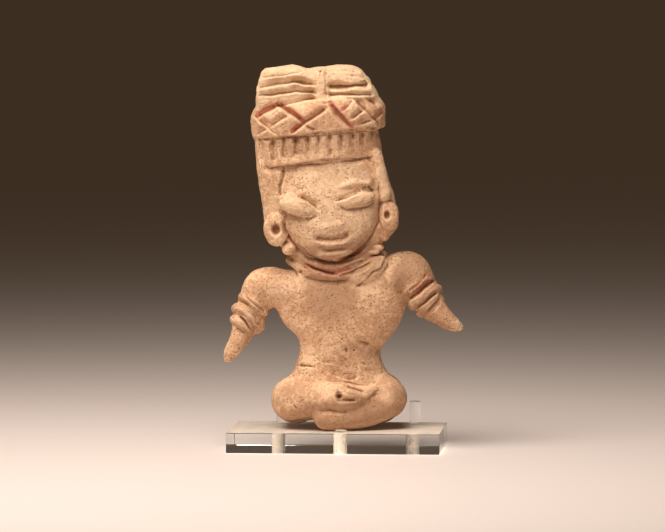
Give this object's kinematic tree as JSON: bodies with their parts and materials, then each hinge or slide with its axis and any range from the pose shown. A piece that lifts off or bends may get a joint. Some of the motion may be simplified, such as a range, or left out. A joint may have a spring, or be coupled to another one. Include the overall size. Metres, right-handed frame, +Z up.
{
  "type": "seated clay figurine on a clear stand",
  "caption": "Hand-modelled fired-clay figurine of a cross-legged seated woman with a rolled turban and stub arms, on a clear block with round pegs.",
  "frame": {"origin": "centre of the stand block's underside", "axes": "+Z up, the stand's long side along X, the figurine faces -Y (turned 4.7 degrees on its stand), +X is to the viewer's right"},
  "size_m": [0.0738, 0.04, 0.1198],
  "materials": {
    "terracotta": "matte gritty fired clay with dark specks, worn red pigment and pale slip",
    "clear_acrylic": "clear polished cast acrylic"
  },
  "bodies": {
    "root": {"figurine": "terracotta", "stand_block": "clear_acrylic", "front_peg": "clear_acrylic", "rear_left_peg": "clear_acrylic", "rear_right_peg": "clear_acrylic"}
  },
  "joints": []
}
